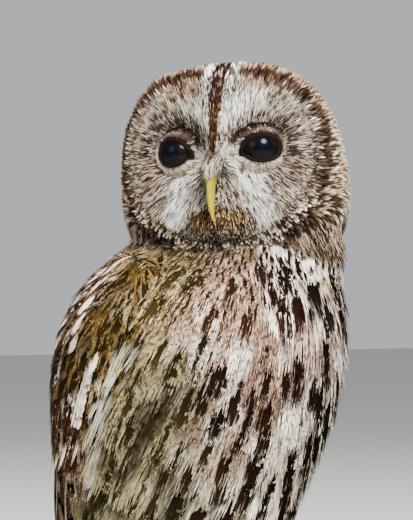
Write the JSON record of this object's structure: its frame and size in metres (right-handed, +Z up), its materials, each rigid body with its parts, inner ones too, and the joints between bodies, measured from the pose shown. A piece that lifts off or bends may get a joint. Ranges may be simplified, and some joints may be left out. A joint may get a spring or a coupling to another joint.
{
  "type": "tawny owl",
  "caption": "Life-size still model of a tawny owl standing upright on both feet, head turned to its right, wings folded and tail tip resting on the floor",
  "frame": {"origin": "on the floor under the middle of the owl's plan", "axes": "+Z up, the breast faces -Y, the owl's left side is +X"},
  "size_m": [0.1466, 0.2218, 0.339],
  "materials": {
    "head_plumage": "matte",
    "face_plumage": "matte",
    "body_plumage": "matte",
    "wing_plumage": "matte",
    "tail_plumage": "matte",
    "leg_plumage": "matte",
    "eye": "gloss",
    "bill": "satin",
    "claw": "satin"
  },
  "bodies": {
    "root": {"head": "head_plumage", "neck": "body_plumage", "trunk": "body_plumage", "face_disc_left": "face_plumage", "face_disc_right": "face_plumage", "eye_left": "eye", "eye_right": "eye", "bill_upper": "bill", "bill_lower": "bill", "wing_left": "wing_plumage", "flight_feathers_left": "wing_plumage", "wing_right": "wing_plumage", "flight_feathers_right": "wing_plumage", "tail": "tail_plumage", "thigh_left": "leg_plumage", "shank_left": "leg_plumage", "foot_left": "leg_plumage", "inner_toe_left": "leg_plumage", "inner_toe_claw_left": "claw", "middle_toe_left": "leg_plumage", "middle_toe_claw_left": "claw", "outer_toe_left": "leg_plumage", "outer_toe_claw_left": "claw", "hind_toe_left": "leg_plumage", "hind_toe_claw_left": "claw", "thigh_right": "leg_plumage", "shank_right": "leg_plumage", "foot_right": "leg_plumage", "inner_toe_right": "leg_plumage", "inner_toe_claw_right": "claw", "middle_toe_right": "leg_plumage", "middle_toe_claw_right": "claw", "outer_toe_right": "leg_plumage", "outer_toe_claw_right": "claw", "hind_toe_right": "leg_plumage", "hind_toe_claw_right": "claw"}
  },
  "joints": []
}
